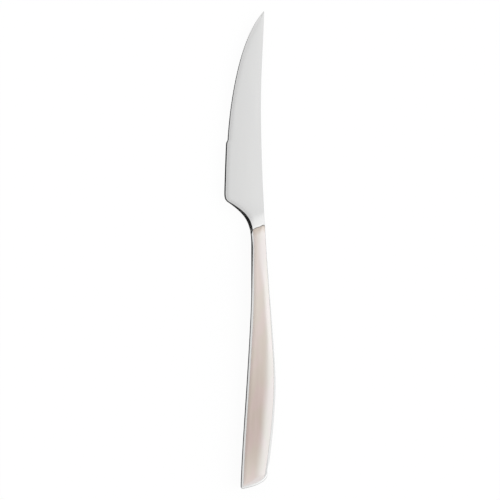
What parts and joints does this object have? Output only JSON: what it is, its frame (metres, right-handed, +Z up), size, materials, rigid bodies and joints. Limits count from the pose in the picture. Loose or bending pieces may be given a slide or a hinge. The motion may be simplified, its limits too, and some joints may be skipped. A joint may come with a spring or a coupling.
{
  "type": "table knife",
  "caption": "Slim table knife with an upswept, finely toothed steel blade and a swelling steel-framed handle with pearl-effect inlays, for cutting food at the table.",
  "frame": {"origin": "middle of the base, with the knife lying on its rear inlay", "axes": "+Y from butt to tip, +X from cutting edge to back, +Z up through the thickness"},
  "size_m": [0.0256, 0.239, 0.009],
  "materials": {
    "blade_steel": "finely polished stainless steel",
    "pearl_inlay": "glossy acrylic with a champagne pearl effect",
    "adhesive": "cured glue film",
    "pin_steel": "drawn steel"
  },
  "bodies": {
    "root": {"blade_and_tang": "blade_steel", "front_inlay": "pearl_inlay", "rear_inlay": "pearl_inlay", "front_adhesive": "adhesive", "rear_adhesive": "adhesive", "dowel_pin_1": "pin_steel", "dowel_pin_2": "pin_steel", "dowel_pin_3": "pin_steel"}
  },
  "joints": []
}
